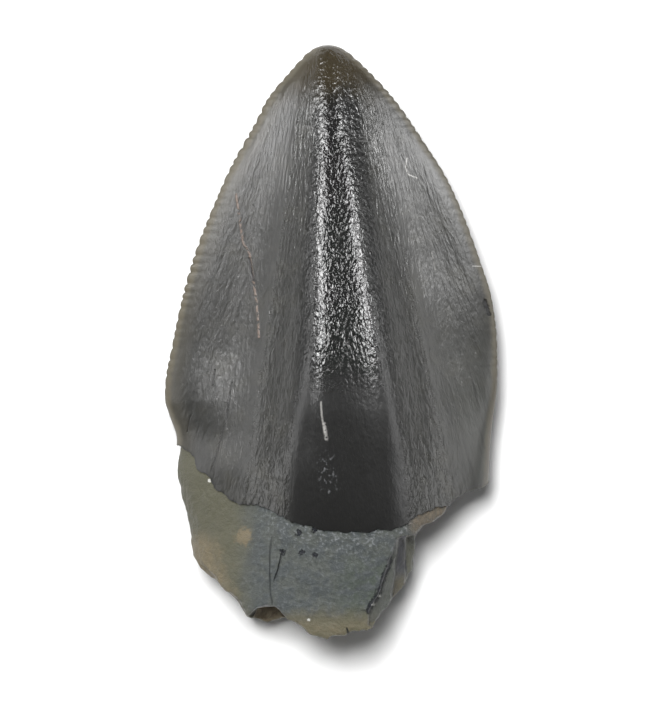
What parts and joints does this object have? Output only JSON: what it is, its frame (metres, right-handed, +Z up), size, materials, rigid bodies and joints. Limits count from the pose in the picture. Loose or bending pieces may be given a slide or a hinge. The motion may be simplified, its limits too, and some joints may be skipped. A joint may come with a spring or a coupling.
{
  "type": "fossil phytosaur tooth",
  "caption": "Broad serrated fossil reptile tooth crown with a broken, hollow root, lying on its back, for a specimen display, a teaching set or a cabinet of natural finds.",
  "frame": {"origin": "on the surface the tooth lies on, under the middle of its bounding box", "axes": "+Y from the root to the tip, +Z up from the back of the tooth to its convex front, +X to the right as the tooth is seen from the front"},
  "size_m": [0.0124, 0.022, 0.0058],
  "materials": {
    "fossil": "naturally polished dark enamel with an olive serrated rim, over satin blue-grey to tan root dentine"
  },
  "bodies": {
    "root": {"tooth": "fossil"}
  },
  "joints": []
}
